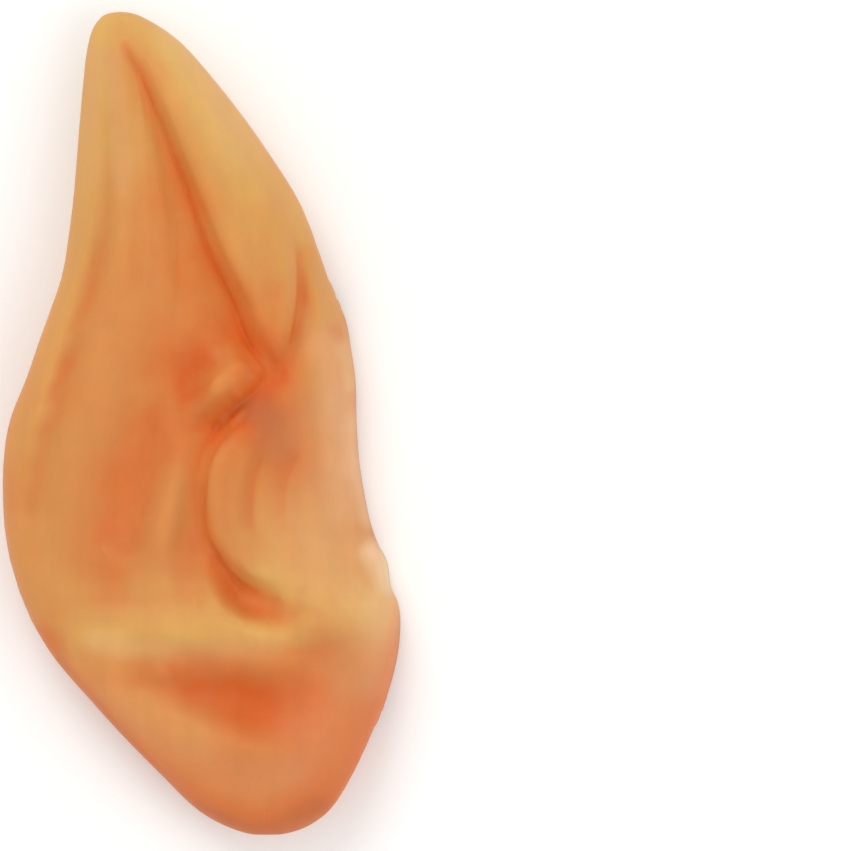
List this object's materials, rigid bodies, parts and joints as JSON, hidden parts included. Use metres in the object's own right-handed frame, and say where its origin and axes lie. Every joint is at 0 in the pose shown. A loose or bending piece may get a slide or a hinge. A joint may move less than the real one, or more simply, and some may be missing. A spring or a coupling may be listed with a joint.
{
  "type": "elf ear costume cover",
  "caption": "Hollow moulded latex shell shaped as a long pointed ear, open at the back and cheek side to slip over a wearer's ear.",
  "frame": {"origin": "under the middle of the ear's length and width, on the surface that the ear rests on", "axes": "+Y from the lobe to the tip, +X towards the wearer's cheek, +Z out of the moulded front"},
  "size_m": [0.053, 0.11, 0.021],
  "materials": {
    "latex_skin": "soft satin moulded latex, skin toned, redder in the folds and yellower on the raised edges"
  },
  "bodies": {
    "root": {"ear_shell": "latex_skin"}
  },
  "joints": []
}
